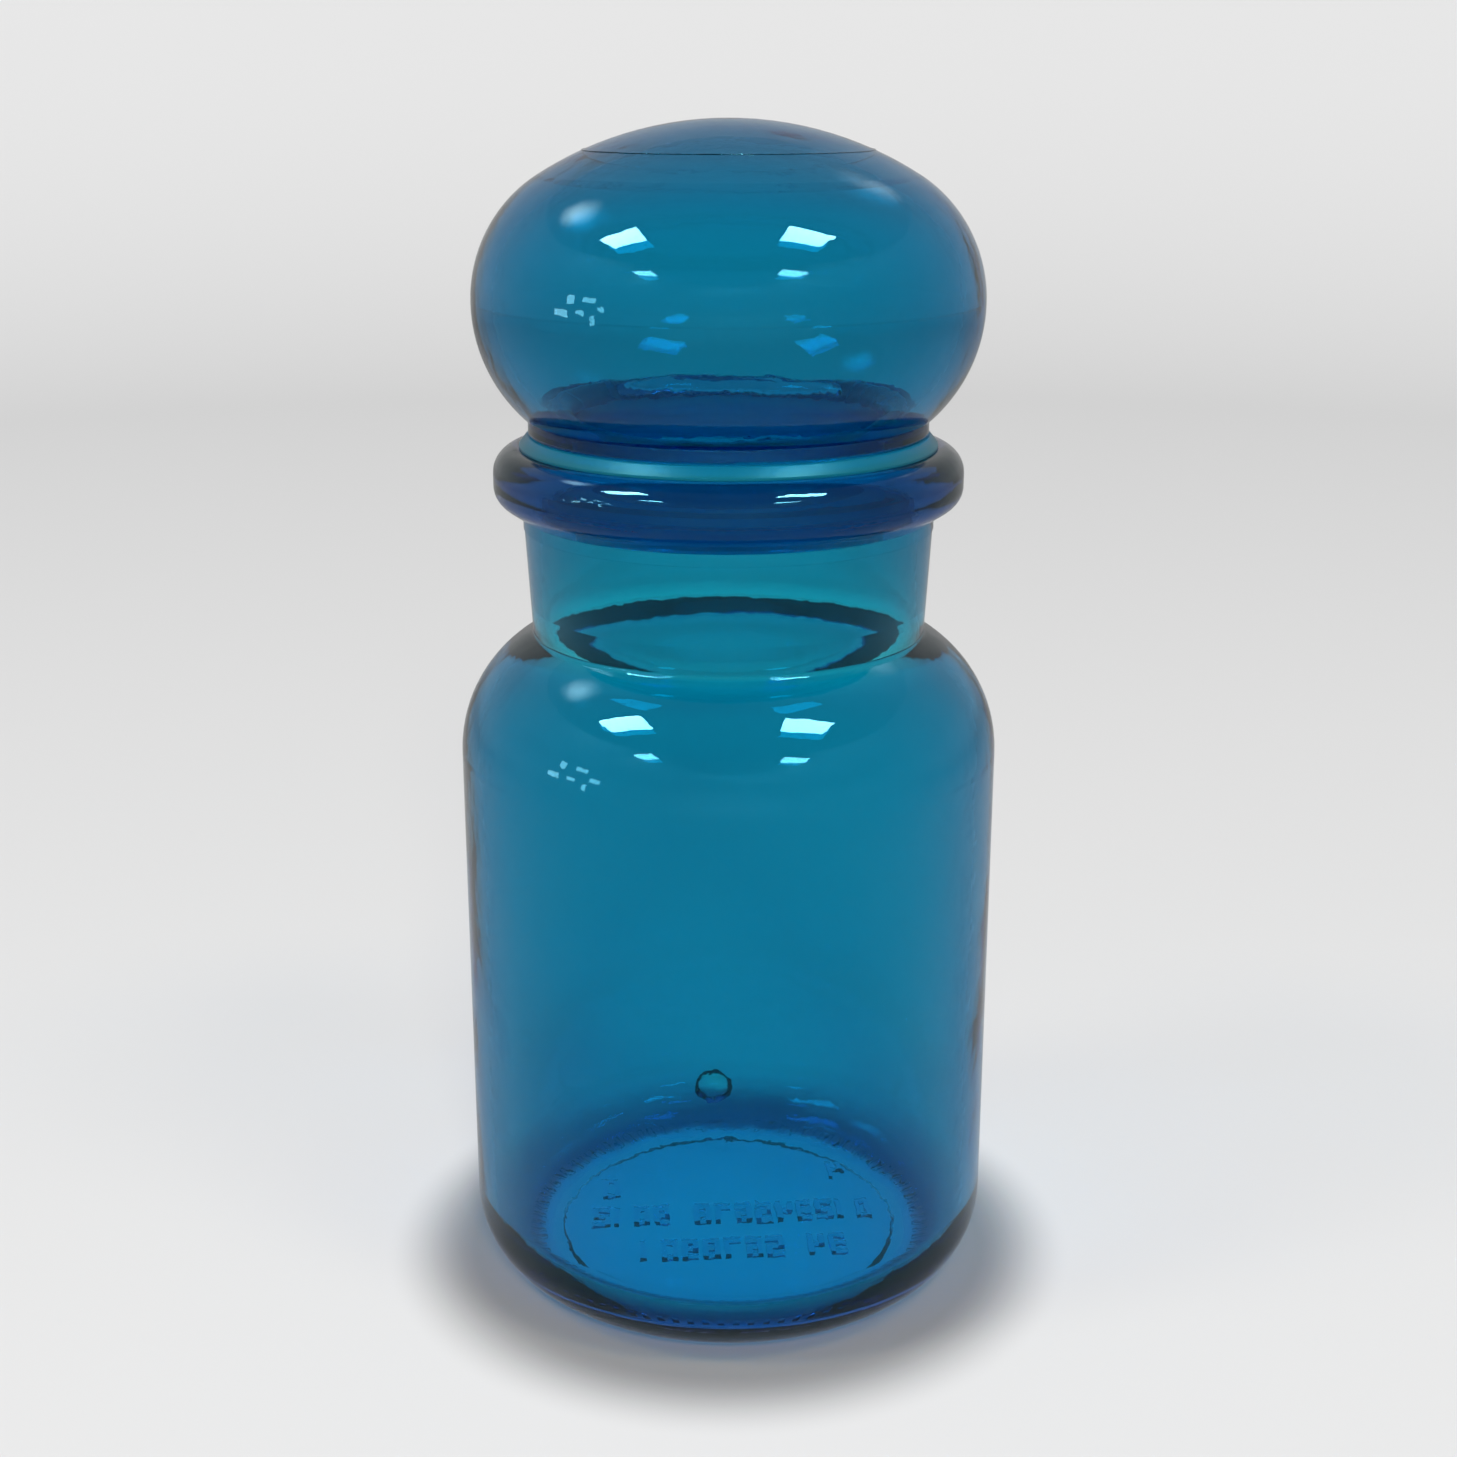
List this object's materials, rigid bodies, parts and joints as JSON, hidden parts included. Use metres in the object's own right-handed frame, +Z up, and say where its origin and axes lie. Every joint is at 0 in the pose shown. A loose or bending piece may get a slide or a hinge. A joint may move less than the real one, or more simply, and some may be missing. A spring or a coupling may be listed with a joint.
{
  "type": "lidded glass jar",
  "caption": "Round moulded glass jar with a short neck and thick lip, closed by a hollow bubble lid whose stem is sealed by a soft ring collar.",
  "frame": {"origin": "centre of the bearing ring under the jar, in the plane that it stands on", "axes": "+Z up along the jar's axis; the registration dimple low on the heel lies close to +Y, at the back"},
  "size_m": [0.094, 0.094, 0.2051],
  "materials": {
    "blue_glass": "clear blue moulded glass, glossy inside and out",
    "clear_seal": "milky translucent soft polyethylene"
  },
  "bodies": {
    "jar": {"jar": "blue_glass"},
    "collar": {"sealing_collar": "clear_seal"},
    "lid": {"bubble_lid": "blue_glass"}
  },
  "joints": [
    {"name": "lid_lift", "type": "slide", "parent": "jar", "child": "collar", "axis": [0, 0, 1], "range_m": [0, 0.1]},
    {"name": "lid_twist", "type": "hinge", "parent": "collar", "child": "lid", "pos_m": [0, 0, 0.1538], "axis": [0, 0, 1], "continuous": true}
  ]
}
